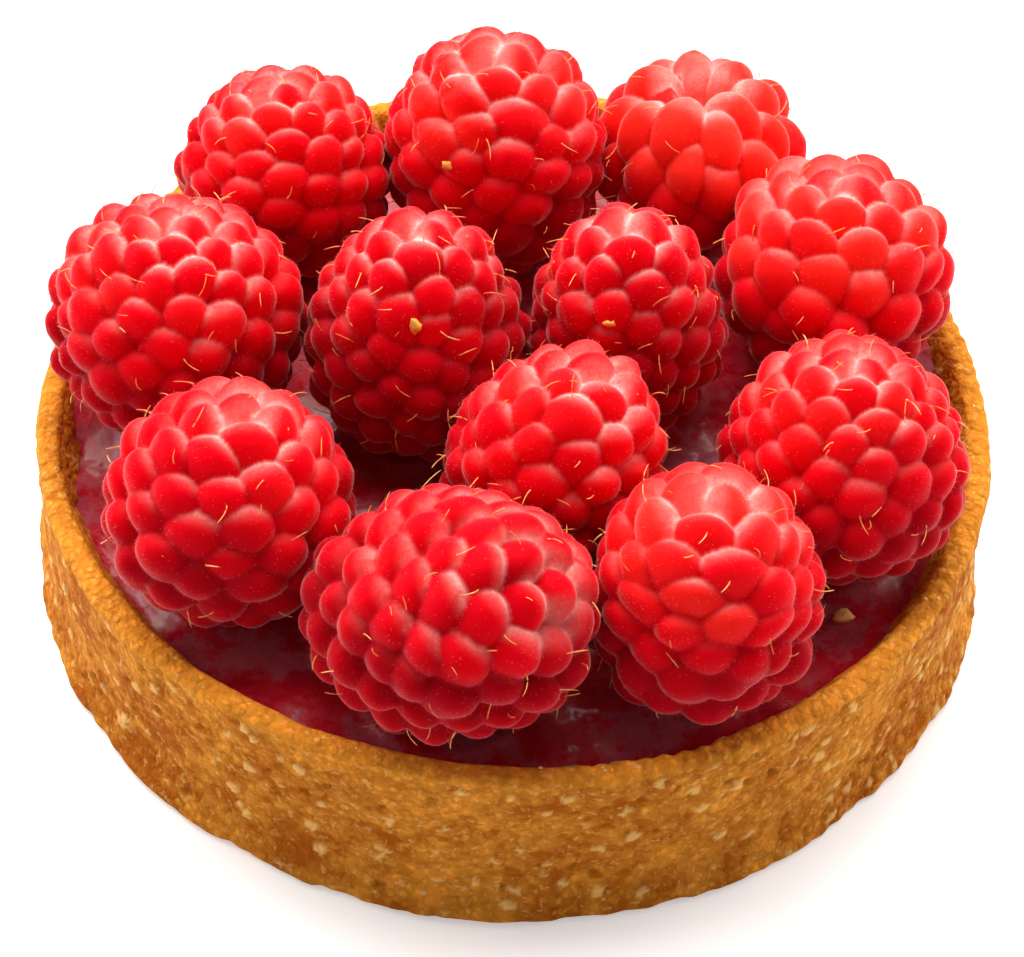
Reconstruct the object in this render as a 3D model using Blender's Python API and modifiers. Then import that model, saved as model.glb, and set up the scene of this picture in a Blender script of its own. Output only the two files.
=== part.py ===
"""A raspberry tart: a turned pastry case filled with glossy jam, with twelve raspberries set on top."""

import math

import bmesh
import bpy
from mathutils import Matrix, Vector

MM = 0.001

# Pastry case: a straight-sided tart baked in a ring, with a slightly spreading foot.
FOOT_RADIUS = 40.0 * MM
FOOT_HEIGHT = 6.0 * MM
FOOT_ROUND = 0.5 * MM
FOOT_STEPS = 4
WALL_RADIUS = 38.8 * MM
CASE_HEIGHT = 16.2 * MM
RIM_WIDTH = 2.0 * MM
RIM_ROUND = 0.5 * MM
WALL_AT_JAM = 3.2 * MM
WALL_AT_FLOOR = 3.8 * MM
FLOOR_THICKNESS = 3.0 * MM
CASE_STEPS = 96

# The rim was trimmed by hand, so it rises and dips: waves round the case, height, where each peaks (degrees).
RIM_WAVES = ((2, 0.45 * MM, 80), (3, 0.2 * MM, 24), (4, 0.15 * MM, -20))

# Jam: level in the middle, drawn up a little where it meets the wall.
JAM_DEPTH_BELOW_RIM = 2.9 * MM
JAM_RISE = 1.1 * MM
JAM_RISE_WIDTH = 2.4 * MM
JAM_STEPS = 48

GAP = 0.3 * MM

# Raspberries: a net of triangles, each row turned half a step; every third corner is a drupelet's crown.
NET_COLUMNS = 24
NET_ROWS = 14
DRUPELET_RELIEF = 1.1 * MM
SHOULDER_POWER = 0.85
TAPER_START = -0.25
TAPER_SHARE = 0.55
CUP_RADIUS = 3.4 * MM
CUP_DEPTH = 2.6 * MM

# Each fruit: node, centre x and y, width, height (mm), lean and the way it leans (degrees), taper, cup at the top.
BERRIES = (
    ("raspberry_back_mid", -2.5, 21.5, 18.8, 21.2, 4, 90, 0.1, False),
    ("raspberry_back_left", -20.5, 20.0, 18.2, 17.0, 8, 150, 0.25, False),
    ("raspberry_back_right", 15.0, 25.0, 17.0, 15.8, 5, 80, 0.1, True),
    ("raspberry_left", -27.0, 0.5, 20.4, 19.2, 8, 60, 0.1, False),
    ("raspberry_mid_left", -8.0, -0.8, 18.2, 21.6, 4, 90, 0.5, False),
    ("raspberry_mid_right", 8.6, 2.0, 16.2, 20.2, 5, 100, 0.4, False),
    ("raspberry_right", 25.6, 10.0, 19.4, 17.6, 4, 100, 0.1, False),
    ("raspberry_front_left", -21.0, -18.4, 19.0, 18.2, 16, 30, 0.2, False),
    ("raspberry_centre", 3.4, -13.4, 16.4, 18.6, 25, 20, 0.25, False),
    ("raspberry_front_right", 25.3, -10.9, 20.2, 18.4, 4, 90, 0.45, False),
    ("raspberry_front_mid", -4.0, -29.0, 18.4, 22.2, 62, -25, 0.2, False),
    ("raspberry_front_mid_right", 14.4, -25.4, 17.2, 19.0, 8, 110, 0.15, False),
)

PASTRY_COLOUR = (0.55, 0.27, 0.08, 1.0)
JAM_COLOUR = (0.16, 0.005, 0.012, 1.0)
RASPBERRY_COLOUR = (0.72, 0.01, 0.03, 1.0)


def clear_scene():
    for obj in list(bpy.data.objects):
        bpy.data.objects.remove(obj, do_unlink=True)


def new_collection(name):
    collection = bpy.data.collections.new(name)
    bpy.context.scene.collection.children.link(collection)
    return collection


def new_material(name, colour, roughness):
    material = bpy.data.materials.new(name)
    material.use_nodes = True
    shader = material.node_tree.nodes["Principled BSDF"]
    shader.inputs["Base Color"].default_value = colour
    shader.inputs["Roughness"].default_value = roughness
    shader.inputs["Metallic"].default_value = 0.0
    material.diffuse_color = colour
    return material


def arc(centre_x, centre_z, radius, start, end, steps):
    """Points on a quarter round, from one angle to another in degrees."""
    points = []
    for step in range(steps + 1):
        angle = math.radians(start + (end - start) * step / steps)
        points.append((centre_x + radius * math.cos(angle), centre_z + radius * math.sin(angle)))
    return points


def turned(name, profile, steps, collection):
    """Turns a profile of (radius, height) points about Z with a Screw, and gives it back as a plain mesh object."""
    outline = bpy.data.meshes.new(name + "_profile")
    vertices = [(x, 0.0, z) for x, z in profile]
    edges = [(i, i + 1) for i in range(len(profile) - 1)]
    outline.from_pydata(vertices, edges, [])
    guide = bpy.data.objects.new(name + "_profile", outline)
    collection.objects.link(guide)
    screw = guide.modifiers.new("Turn", "SCREW")
    screw.axis = "Z"
    screw.steps = steps
    screw.render_steps = steps
    screw.use_merge_vertices = True
    screw.merge_threshold = 0.00001
    graph = bpy.context.evaluated_depsgraph_get()
    mesh = bpy.data.meshes.new_from_object(guide.evaluated_get(graph))
    mesh.name = name
    bpy.data.objects.remove(guide, do_unlink=True)
    obj = bpy.data.objects.new(name, mesh)
    collection.objects.link(obj)
    return obj


def rim_wave(x, y):
    """How far the rim stands above its mean height at a place round the case."""
    angle = math.atan2(y, x)
    return sum(height * math.cos(order * (angle - math.radians(peak))) for order, height, peak in RIM_WAVES)


def smooth(obj, angle):
    obj.data.shade_smooth()
    obj.data.set_sharp_from_angle(angle=math.radians(angle))


def foot_profile():
    """The wall's outer face near the table: it spreads as the square of the way down, to a rounded edge."""
    points = []
    for step in range(FOOT_STEPS + 1):
        down = step / FOOT_STEPS
        height = FOOT_ROUND + (FOOT_HEIGHT - FOOT_ROUND) * (1 - down)
        points.append((WALL_RADIUS + (FOOT_RADIUS - WALL_RADIUS) * down**2, height))
    return points + arc(FOOT_RADIUS - FOOT_ROUND, FOOT_ROUND, FOOT_ROUND, 0, -90, 2)[1:]


def make_case(collection, material):
    """The case: floor and wall in one piece, with a rounded crest and an inner face that slopes down to the jam."""
    crest_in = WALL_RADIUS - RIM_WIDTH
    jam_z = CASE_HEIGHT - JAM_DEPTH_BELOW_RIM
    profile = [(0.0, FLOOR_THICKNESS)]
    profile += [(WALL_RADIUS - WALL_AT_FLOOR, FLOOR_THICKNESS), (WALL_RADIUS - WALL_AT_JAM, jam_z)]
    profile += arc(crest_in + RIM_ROUND, CASE_HEIGHT - RIM_ROUND, RIM_ROUND, 180, 90, 2)
    profile += arc(WALL_RADIUS - RIM_ROUND, CASE_HEIGHT - RIM_ROUND, RIM_ROUND, 90, 0, 2)
    profile += foot_profile() + [(0.0, 0.0)]
    case = turned("pastry_case", profile, CASE_STEPS, collection)
    for vertex in case.data.vertices:
        share = max(0.0, (vertex.co.z - FLOOR_THICKNESS) / (CASE_HEIGHT - FLOOR_THICKNESS))
        vertex.co.z += share * rim_wave(vertex.co.x, vertex.co.y)
    case.data.materials.append(material)
    smooth(case, 40)
    return case


def make_jam(collection, material):
    """The jam fills the case with a hair of clearance, up to its level."""
    level = CASE_HEIGHT - JAM_DEPTH_BELOW_RIM
    edge = WALL_RADIUS - WALL_AT_JAM - GAP
    rise = [(edge - JAM_RISE_WIDTH * (1 - t), level + JAM_RISE * t * t) for t in (0.0, 0.4, 0.7, 1.0)]
    profile = [(0.0, level)] + rise
    profile += [(WALL_RADIUS - WALL_AT_FLOOR - GAP, FLOOR_THICKNESS + GAP), (0.0, FLOOR_THICKNESS + GAP)]
    jam = turned("jam", profile, JAM_STEPS, collection)
    jam.data.materials.append(material)
    smooth(jam, 40)
    return jam


def net_corner(direction):
    """The net's corner at a sphere point: angle down from the top, angle round, and whether it is a crown."""
    row_step = math.pi / NET_ROWS
    column_step = math.tau / NET_COLUMNS
    down = math.acos(max(-1.0, min(1.0, direction.z)))
    row = round(down / row_step)
    column = round(math.atan2(direction.y, direction.x) / column_step)
    crown = (column - row // 2 - row) % 3 == 0 or row in (0, NET_ROWS)
    return row * row_step, (column + 0.5 * (row % 2)) * column_step, crown


def berry_point(direction, half_width, half_height, taper, cup):
    """A fruit's surface: a rounded cone, pressed in between the drupelets' crowns, with a cup where it was picked."""
    down, around, crown = net_corner(direction)
    level = math.cos(down)
    narrowing = max(0.0, (level - TAPER_START) / (1 - TAPER_START))
    radius = half_width * abs(math.sin(down)) ** SHOULDER_POWER * (1 - TAPER_SHARE * taper * narrowing)
    point = Vector((radius * math.cos(around), radius * math.sin(around), half_height * level))
    if not crown:
        point -= DRUPELET_RELIEF * point.normalized()
    if cup and level > 0:
        point.z -= CUP_DEPTH * max(0.0, 1 - (radius / CUP_RADIUS) ** 2)
    return point


def make_berry(spec, collection, material):
    """One raspberry, leaning as given, standing a hair clear of the jam on its lowest drupelets."""
    name, x, y, width, height, lean, leans_to, taper, cup = spec
    mesh = bpy.data.meshes.new(name)
    shape = bmesh.new()
    bmesh.ops.create_uvsphere(shape, u_segments=NET_COLUMNS, v_segments=NET_ROWS, radius=1.0)
    for vertex in shape.verts:
        vertex.co = berry_point(vertex.co.normalized(), width / 2 * MM, height / 2 * MM, taper, cup)
    bmesh.ops.triangulate(shape, faces=shape.faces, quad_method="SHORT_EDGE")
    shape.to_mesh(mesh)
    shape.free()
    towards = math.radians(leans_to)
    tilt = Matrix.Rotation(math.radians(lean), 4, Vector((-math.sin(towards), math.cos(towards), 0)))
    lowest = min((tilt @ vertex.co).z for vertex in mesh.vertices)
    berry = bpy.data.objects.new(name, mesh)
    berry.rotation_euler = tilt.to_euler()
    berry.location = (x * MM, y * MM, CASE_HEIGHT - JAM_DEPTH_BELOW_RIM + GAP - lowest)
    collection.objects.link(berry)
    mesh.materials.append(material)
    smooth(berry, 60)
    return berry


def main():
    clear_scene()
    collection = new_collection("raspberry_tart")
    make_case(collection, new_material("pastry", PASTRY_COLOUR, 0.8))
    make_jam(collection, new_material("jam", JAM_COLOUR, 0.12))
    berry_material = new_material("raspberry", RASPBERRY_COLOUR, 0.45)
    for spec in BERRIES:
        make_berry(spec, collection, berry_material)


main()
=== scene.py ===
import math

import bpy
import numpy as np
from bpy.props import FloatProperty, FloatVectorProperty, IntProperty, PointerProperty
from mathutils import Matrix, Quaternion, Vector


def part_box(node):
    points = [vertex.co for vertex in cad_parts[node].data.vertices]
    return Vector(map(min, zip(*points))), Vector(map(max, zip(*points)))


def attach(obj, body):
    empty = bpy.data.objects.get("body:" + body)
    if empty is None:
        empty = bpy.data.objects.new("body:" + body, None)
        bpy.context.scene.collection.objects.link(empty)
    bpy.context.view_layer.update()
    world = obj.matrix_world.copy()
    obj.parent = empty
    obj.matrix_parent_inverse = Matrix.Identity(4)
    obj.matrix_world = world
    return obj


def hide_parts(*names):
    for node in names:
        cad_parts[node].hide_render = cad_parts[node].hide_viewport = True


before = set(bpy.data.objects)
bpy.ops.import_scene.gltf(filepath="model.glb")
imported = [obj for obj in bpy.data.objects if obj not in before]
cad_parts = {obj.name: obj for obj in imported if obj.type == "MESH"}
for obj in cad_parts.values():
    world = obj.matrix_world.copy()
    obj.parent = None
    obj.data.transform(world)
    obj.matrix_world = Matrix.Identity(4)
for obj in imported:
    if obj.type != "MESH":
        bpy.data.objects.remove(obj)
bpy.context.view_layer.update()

bl_info = {
    "name": "Raspberry Tart",
    "version": (1, 0, 0),
    "blender": (4, 5, 0),
    "location": "3D View > Sidebar > Tart",
    "description": "Builds a baked tart case, its jam and the raspberries on it",
    "category": "Add Mesh",
}

MM = 0.001
CASE_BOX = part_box("pastry_case")

# Each fruit: CAD node, width, height (mm), lean and the way it leans (degrees), taper, drupelet size (mm),
# how wide its upper drupelets are for their height, ripeness, wrinkling, and depth of its open cup (mm).
FRUITS = (
    ("raspberry_back_mid", 19.4, 21.2, 4, 90, 0.1, 4.0, 1.35, 0.28, 0.7, 0.0),
    ("raspberry_back_left", 18.8, 17.2, 8, 150, 0.25, 3.6, 1.35, 0.35, 0.2, 0.0),
    ("raspberry_back_right", 17.6, 16.2, 5, 80, 0.1, 4.3, 0.75, 0.0, 0.2, 4.0),
    ("raspberry_left", 20.8, 19.6, 8, 60, 0.1, 3.5, 1.15, 0.5, 0.3, 0.0),
    ("raspberry_mid_left", 18.8, 21.8, 4, 90, 0.5, 3.5, 1.1, 0.6, 0.3, 0.0),
    ("raspberry_mid_right", 16.8, 20.4, 5, 100, 0.4, 3.5, 1.15, 0.65, 0.4, 0.0),
    ("raspberry_right", 19.8, 18.0, 4, 100, 0.1, 4.1, 1.2, 0.25, 0.2, 0.0),
    ("raspberry_front_left", 19.4, 18.6, 16, 30, 0.2, 3.9, 1.3, 0.5, 0.2, 0.0),
    ("raspberry_centre", 17.6, 19.4, 25, 20, 0.25, 3.7, 1.2, 0.4, 0.9, 0.0),
    ("raspberry_front_right", 20.6, 18.8, 4, 90, 0.45, 3.6, 1.15, 0.35, 0.3, 0.0),
    ("raspberry_front_mid", 19.2, 23.0, 62, -25, 0.2, 3.7, 1.2, 0.62, 0.2, 0.0),
    ("raspberry_front_mid_right", 18.0, 19.6, 8, 110, 0.15, 3.8, 1.45, 0.3, 0.2, 0.0),
)

# Shape of a fruit's body, the same rule as its CAD solid.
SHOULDER_POWER = 0.85
TAPER_START = -0.25
TAPER_SHARE = 0.55
CORE_SHARE = 0.8  # reach of the smooth core under the drupelets, as a share of the body's
LAP = 0.18  # how steeply each drupelet stands up over the one above it
TIP_CROWD = 0.4  # how much closer drupelets sit at the tip
CUP_RADIUS = 3.7 * MM
CUP_FLOOR_RADIUS = 2.4 * MM

# Seeds stuck to the fruit: fruit, way round it and height on it (degrees), half-sizes (mm).
SEEDS = (
    ("raspberry_mid_left", -90, 48, (0.5, 0.35, 0.6)),
    ("raspberry_back_mid", -117, 29, (0.55, 0.35, 0.4)),
    ("raspberry_mid_right", -104, 42, (0.5, 0.3, 0.3)),
)

# The crumb on the jam: way round the tart (degrees), distance from its middle, height and half-sizes (mm).
JAM_CRUMB_WAY, JAM_CRUMB_DISTANCE, JAM_CRUMB_HEIGHT = -36, 32.4, 13.3
JAM_CRUMB_SIZE = (0.8, 0.6, 0.45)

# Under the jam: where the case's inner wall ends, out of sight.
HIDDEN_RADIUS = 35.0 * MM
HIDDEN_LEVEL = 12.0 * MM

# The rim rises and dips: waves round the case, height (mm), where each peaks (degrees).
RIM_WAVES = ((2, 0.45, 80), (3, 0.2, 24), (4, 0.15, -20))


# ---------------------------------------------------------------- sizes and colours a user would change


def length(name, description, millimetres):
    """A length setting: given in millimetres, kept in metres."""
    return FloatProperty(name=name, description=description, default=millimetres * MM, unit="LENGTH")


def power(name, description, watts):
    """A lamp's power setting."""
    return FloatProperty(name=name, description=description, default=watts, unit="POWER")


def tint(name, description, colour):
    """A colour setting: red, green and blue, with full alpha added."""
    return FloatVectorProperty(
        name=name, description=description, subtype="COLOR", size=4, default=(*colour, 1.0), min=0.0, max=1.0
    )


class TartCaseSettings(bpy.types.PropertyGroup):
    foot_radius: FloatProperty(
        name="Foot radius", description="Radius where the case stands", default=CASE_BOX[1].x, unit="LENGTH"
    )
    wall_radius: length("Wall radius", "Radius of the straight wall", 38.8)
    height: length("Height", "Mean height of the rim", 16.2)
    rim_width: length("Rim width", "Width of the rim's flat crest", 2.0)
    grain: length("Grain depth", "Depth of the baked crumb's grain", 0.12)
    crimp: length("Dimple depth", "Depth of the dimples along the rim", 0.2)
    pale: tint("Pale crust", "Colour of the least baked crust", (0.86, 0.36, 0.04))
    brown: tint("Brown crust", "Colour of the most baked crust", (0.42, 0.10, 0.003))


class TartJamSettings(bpy.types.PropertyGroup):
    level: length("Level", "Height of the jam in the middle", 14.2)
    rise: length("Edge rise", "How far the jam climbs the wall", 0.5)
    ripple: length("Ripple", "Height of the set skin's folds", 0.22)
    colour: tint("Jam", "Colour of the jam", (0.38, 0.003, 0.014))


class TartFruitSettings(bpy.types.PropertyGroup):
    rings: IntProperty(name="Rings", description="Mesh rows from tip to base", default=190, min=40, max=240)
    columns: IntProperty(
        name="Columns", description="Mesh columns round a fruit", default=280, min=60, max=400
    )
    down_count: IntProperty(
        name="Down hairs", description="Fine down hairs on each fruit", default=3900, min=0, max=4000
    )
    down_length: length("Down length", "Length of the fine down", 0.24)
    style_length: length("Hair length", "Length of the dry hairs", 1.5)
    unripe: tint("Least ripe", "Colour of the least ripe drupelets", (0.98, 0.03, 0.018))
    flesh: tint("Flesh", "Colour of the ripe drupelets", (0.76, 0.001, 0.009))
    # Also the colour of the painted shade low on each fruit and in its creases.
    shade: tint("Ripest", "Colour of the ripest drupelets and of the creases", (0.37, 0.0, 0.006))
    # Pale down, also used as a painted sheen on upper edges near each fruit's top.
    down_and_sheen: tint("Down", "Colour of the pale down on the drupelets", (1.0, 0.66, 0.6))
    hair: tint("Hairs", "Colour of the dry hairs", (0.95, 0.5, 0.14))


class TartStageSettings(bpy.types.PropertyGroup):
    camera_distance: FloatProperty(
        name="Camera distance", description="From the lens to the tart's foot", default=0.2373, unit="LENGTH"
    )
    camera_elevation: FloatProperty(
        name="Camera elevation", description="Angle above the table", default=math.radians(49.2),
        unit="ROTATION",
    )
    camera_roll: FloatProperty(
        name="Camera roll", description="Turn of the camera about its axis", default=math.radians(2.47),
        unit="ROTATION",
    )
    aim_height: length("Aim height", "Height the camera looks at", 6.4)
    lens: FloatProperty(name="Lens", description="Focal length in mm", default=97.03)
    key_power: power("Key power", "Power of the lamp behind", 7.0)
    side_power: power("Side power", "Power of the left lamp; the right one gets 0.8 of it", 2.3)
    fill_power: power("Fill power", "Power of the front lamp", 0.3)


# ---------------------------------------------------------------- numbers over surfaces

HASH_STEPS = np.array([374761393, 668265263, 2246822519], np.uint64)
HASH_MIX = np.uint64(1274126177)
HASH_SEED = np.uint64(974634777)
HASH_MASK = np.uint64(0xFFFFFFFF)
HASH_RANGE = float(1 << 24)


def lattice_random(cells, seed):
    """A repeatable random number from 0 to 1 for each whole-number cell (rows of x, y, z)."""
    mixed = (cells.astype(np.int64).astype(np.uint64) * HASH_STEPS).sum(axis=-1)
    mixed = (mixed + np.uint64(seed) * HASH_SEED) & HASH_MASK
    mixed = ((mixed ^ (mixed >> np.uint64(13))) * HASH_MIX) & HASH_MASK
    mixed = ((mixed ^ (mixed >> np.uint64(16))) * HASH_MIX) & HASH_MASK
    return (mixed >> np.uint64(8)).astype(float) / HASH_RANGE


def noise(points, scale, seed):
    """Smooth noise from -1 to 1: random values at the corners of cells of this size, eased between them."""
    spot = points / scale
    low = np.floor(spot)
    ease = spot - low
    ease = ease * ease * (3 - 2 * ease)
    total = np.zeros(len(points))
    for corner in np.ndindex(2, 2, 2):
        step = np.array(corner)
        share = np.where(step, ease, 1 - ease).prod(axis=1)
        total += share * lattice_random(low + step, seed)
    return 2 * total - 1


def layered_noise(points, scale, seed, layers=3):
    """Noise at several sizes, each half the size and half the strength of the last."""
    total = np.zeros(len(points))
    for layer in range(layers):
        total += noise(points, scale / 2**layer, seed + layer) / 2**layer
    return total / (2 - 0.5 ** (layers - 1))


def nearest_seeds(points, scale, seed):
    """Distance, in cells, to the nearest of one random point per cell, and a random number for that point."""
    spot = points / scale
    base = np.floor(spot)
    best = np.full(len(points), np.inf)
    label = np.zeros(len(points))
    for corner in np.ndindex(3, 3, 3):
        cell = base + np.array(corner) - 1
        offset = np.stack([lattice_random(cell, seed + axis) for axis in range(3)], axis=1)
        far = np.linalg.norm(cell + offset - spot, axis=1)
        closer = far < best
        best = np.where(closer, far, best)
        label = np.where(closer, lattice_random(cell, seed + 3), label)
    return best, label


def smoothstep(low, high, value):
    """0 below low, 1 above high, and an S-curve between."""
    t = np.clip((value - low) / (high - low), 0, 1)
    return t * t * (3 - 2 * t)


def unit(vectors):
    return vectors / np.maximum(np.linalg.norm(vectors, axis=-1, keepdims=True), 1e-12)


# ---------------------------------------------------------------- meshes and materials


def new_piece(name, points, faces, material, values=None):
    """A smooth mesh object from points and faces; values go into a colour attribute named 'look'."""
    mesh = bpy.data.meshes.new(name)
    mesh.from_pydata(points.tolist(), [], faces)
    if values is not None:
        attribute = mesh.attributes.new("look", "FLOAT_COLOR", "POINT")
        rgba = np.ones((len(points), 4), np.float32)
        rgba[:, : values.shape[1]] = values
        attribute.data.foreach_set("color", rgba.ravel())
    mesh.shade_smooth()
    mesh.update()
    piece = bpy.data.objects.new(name, mesh)
    bpy.context.scene.collection.objects.link(piece)
    piece.data.materials.append(material)
    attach(piece, "root")
    return piece


def grid_faces(rows, columns, first):
    """Quads between rows of points that run round a closed loop, numbered from the first point."""
    row, column = np.meshgrid(np.arange(rows - 1), np.arange(columns), indexing="ij")
    right = (column + 1) % columns
    here, below = row * columns, (row + 1) * columns
    quads = np.stack([here + column, here + right, below + right, below + column], axis=-1)
    return quads.reshape(-1, 4) + first


def capped_faces(rows, columns, from_top=False):
    """Outward faces of a round skin: a pole, rows of points that run anticlockwise seen from above, and a
    pole. The rows climb from the first pole to the last, or run down from the top."""
    ring = np.arange(columns)
    turn = (ring + 1) % columns
    last = 1 + (rows - 1) * columns
    pole = rows * columns + 1
    start = np.stack([np.zeros(columns, int), 1 + turn, 1 + ring], axis=1)
    end = np.stack([np.full(columns, pole), last + ring, last + turn], axis=1)
    middle = grid_faces(rows, columns, 1)
    step = -1 if from_top else 1
    return start[:, ::step].tolist() + middle[:, ::step].tolist() + end[:, ::step].tolist()


def repeated_faces(faces, count, per):
    """The same faces for each of many bodies that share one array and have this many points each."""
    return [[corner + number * per for corner in face] for number in range(count) for face in faces]


class Nodes:
    """A short hand for building a material's or a group's node tree."""

    def __init__(self, tree):
        self.tree = tree

    def add(self, kind, **settings):
        node = self.tree.nodes.new(kind)
        for name, value in settings.items():
            setattr(node, name, value)
        return node

    def link(self, source, target):
        self.tree.links.new(source, target)

    def feed(self, value, socket):
        """Links a socket, or sets a plain value."""
        if isinstance(value, bpy.types.NodeSocket):
            self.link(value, socket)
        else:
            socket.default_value = value

    def math(self, operation, first, second=0.0):
        node = self.add("ShaderNodeMath", operation=operation)
        self.feed(first, node.inputs[0])
        self.feed(second, node.inputs[1])
        return node.outputs[0]

    def noise(self, where, scale, detail=2.0, roughness=0.5):
        node = self.add("ShaderNodeTexNoise")
        self.feed(where, node.inputs["Vector"])
        node.inputs["Scale"].default_value = scale
        node.inputs["Detail"].default_value = detail
        node.inputs["Roughness"].default_value = roughness
        return node.outputs["Fac"]

    def between(self, value, low, high, to_low=0.0, to_high=1.0):
        node = self.add("ShaderNodeMapRange", interpolation_type="SMOOTHSTEP")
        self.feed(value, node.inputs["Value"])
        for name, number in zip(("From Min", "From Max", "To Min", "To Max"), (low, high, to_low, to_high)):
            node.inputs[name].default_value = number
        return node.outputs["Result"]

    def mix(self, share, first, second):
        node = self.add("ShaderNodeMix", data_type="RGBA")
        self.feed(share, node.inputs["Factor"])
        self.feed(first, node.inputs["A"])
        self.feed(second, node.inputs["B"])
        return node.outputs["Result"]

    def bump(self, height, distance, strength):
        node = self.add("ShaderNodeBump")
        self.feed(height, node.inputs["Height"])
        node.inputs["Distance"].default_value = distance
        node.inputs["Strength"].default_value = strength
        return node.outputs["Normal"]


def new_material(name, **values):
    """A material, its Principled shader with these plain socket values, and a hand for its nodes."""
    material = bpy.data.materials.new(name)
    material.use_nodes = True
    shader = material.node_tree.nodes["Principled BSDF"]
    for socket, value in values.items():
        shader.inputs[socket.replace("_", " ")].default_value = value
    return material, shader, Nodes(material.node_tree)


def crumb_group():
    """Baked crumb from object place: a mask of uneven tone made of grains and fine noise, a mask of painted
    shade between grains, a mask of pale specks and a height for bump."""
    group = bpy.data.node_groups.get("Baked crumb")
    if group:
        return group
    group = bpy.data.node_groups.new("Baked crumb", "ShaderNodeTree")
    size = group.interface.new_socket(name="Size", in_out="INPUT", socket_type="NodeSocketFloat")
    size.default_value = 1.0
    for name in ("Grain", "Gap shade", "Specks", "Height"):
        group.interface.new_socket(name=name, in_out="OUTPUT", socket_type="NodeSocketFloat")
    nodes = Nodes(group)
    inlet = nodes.add("NodeGroupInput")
    outlet = nodes.add("NodeGroupOutput")
    place = nodes.add("ShaderNodeTexCoord").outputs["Object"]
    scaled = nodes.add("ShaderNodeVectorMath", operation="SCALE")
    nodes.link(place, scaled.inputs[0])
    nodes.link(inlet.outputs["Size"], scaled.inputs["Scale"])
    where = scaled.outputs["Vector"]
    grains = nodes.add("ShaderNodeTexVoronoi", feature="F1")
    nodes.link(where, grains.inputs["Vector"])
    grains.inputs["Scale"].default_value = 1200.0
    grains.inputs["Detail"].default_value = 1.0
    grains.inputs["Randomness"].default_value = 1.0
    shade = nodes.add("ShaderNodeSeparateColor")
    nodes.link(grains.outputs["Color"], shade.inputs["Color"])
    coarse = nodes.noise(where, 700.0, 4.0, 0.65)
    fine = nodes.noise(where, 3600.0, 2.0, 0.6)
    speck = nodes.noise(where, 1500.0, 2.0, 0.6)
    cells = nodes.math("MULTIPLY", shade.outputs["Red"], 0.4)
    tone = nodes.math("ADD", cells, nodes.math("MULTIPLY", coarse, 0.6))
    nodes.link(tone, outlet.inputs["Grain"])
    # Painted shade between the grains.
    nodes.link(nodes.between(grains.outputs["Distance"], 0.42, 0.72), outlet.inputs["Gap shade"])
    nodes.link(nodes.between(speck, 0.6, 0.68), outlet.inputs["Specks"])
    rounded = nodes.math("MULTIPLY", grains.outputs["Distance"], 0.7)
    bumps = nodes.math("SUBTRACT", nodes.math("MULTIPLY", coarse, 0.7), rounded)
    nodes.link(nodes.math("ADD", bumps, nodes.math("MULTIPLY", fine, 0.2)), outlet.inputs["Height"])
    return group


def place_crumb(nodes, size):
    node = nodes.add("ShaderNodeGroup", node_tree=crumb_group())
    node.inputs["Size"].default_value = size
    return node.outputs


def look_channels(nodes):
    """The three numbers kept in the mesh's 'look' attribute."""
    look = nodes.add("ShaderNodeAttribute", attribute_name="look")
    split = nodes.add("ShaderNodeSeparateColor")
    nodes.link(look.outputs["Color"], split.inputs["Color"])
    return split.outputs["Red"], split.outputs["Green"], split.outputs["Blue"]


# ---------------------------------------------------------------- pastry case


ORANGE_CRUST = (0.92, 0.34, 0.03, 1.0)
PIT_SHADE_AND_STAIN = (0.33, 0.08, 0.003, 1.0)
PALE_CRUMB = (0.95, 0.58, 0.2, 1.0)


def pastry_material(settings):
    """Shortcrust: orange, gold or brown by how far it is baked, paler on the crest partly as a painted
    highlight, painted shade in pits, cracks and between grains, a stain, pale specks, matt.
    """
    material, shader, nodes = new_material("Shortcrust", Roughness=0.75, Subsurface_Weight=0.12)
    shader.inputs["Subsurface Radius"].default_value = (1.0, 0.45, 0.08)
    shader.inputs["Subsurface Scale"].default_value = 1.8 * MM
    shader.inputs["Specular IOR Level"].default_value = 0.06
    baked, pit, nugget = look_channels(nodes)
    crumb = place_crumb(nodes, 1.0)
    grain = nodes.math("SUBTRACT", crumb["Grain"], 0.5)
    uneven = nodes.math("ADD", baked, nodes.math("MULTIPLY", grain, 1.3))
    colour = nodes.mix(nodes.between(uneven, 0.0, 0.3), ORANGE_CRUST, tuple(settings.pale))
    colour = nodes.mix(uneven, colour, tuple(settings.brown))
    # Painted shade between the grains and in pits and cracks; the pit channel also carries the stain.
    gap_shade = nodes.math("MULTIPLY", crumb["Gap shade"], 0.35)
    dark = nodes.math("MAXIMUM", nodes.math("MULTIPLY", pit, 0.75), gap_shade)
    colour = nodes.mix(dark, colour, PIT_SHADE_AND_STAIN)
    specks = nodes.math("MULTIPLY", crumb["Specks"], 0.32)
    pale = nodes.math("MAXIMUM", nodes.math("MULTIPLY", nugget, 0.65), specks)
    colour = nodes.mix(pale, colour, PALE_CRUMB)
    nodes.link(colour, shader.inputs["Base Color"])
    nodes.link(nodes.between(crumb["Grain"], 0.2, 0.8, 0.6, 0.85), shader.inputs["Roughness"])
    nodes.link(nodes.bump(crumb["Height"], 0.3 * MM, 0.9), shader.inputs["Normal"])
    return material


def arc_points(x, z, radius, start, end, count):
    """Points on a round from one angle to another, in degrees."""
    angle = np.radians(np.linspace(start, end, count))
    return np.stack([x + radius * np.cos(angle), z + radius * np.sin(angle)], axis=1)


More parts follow.
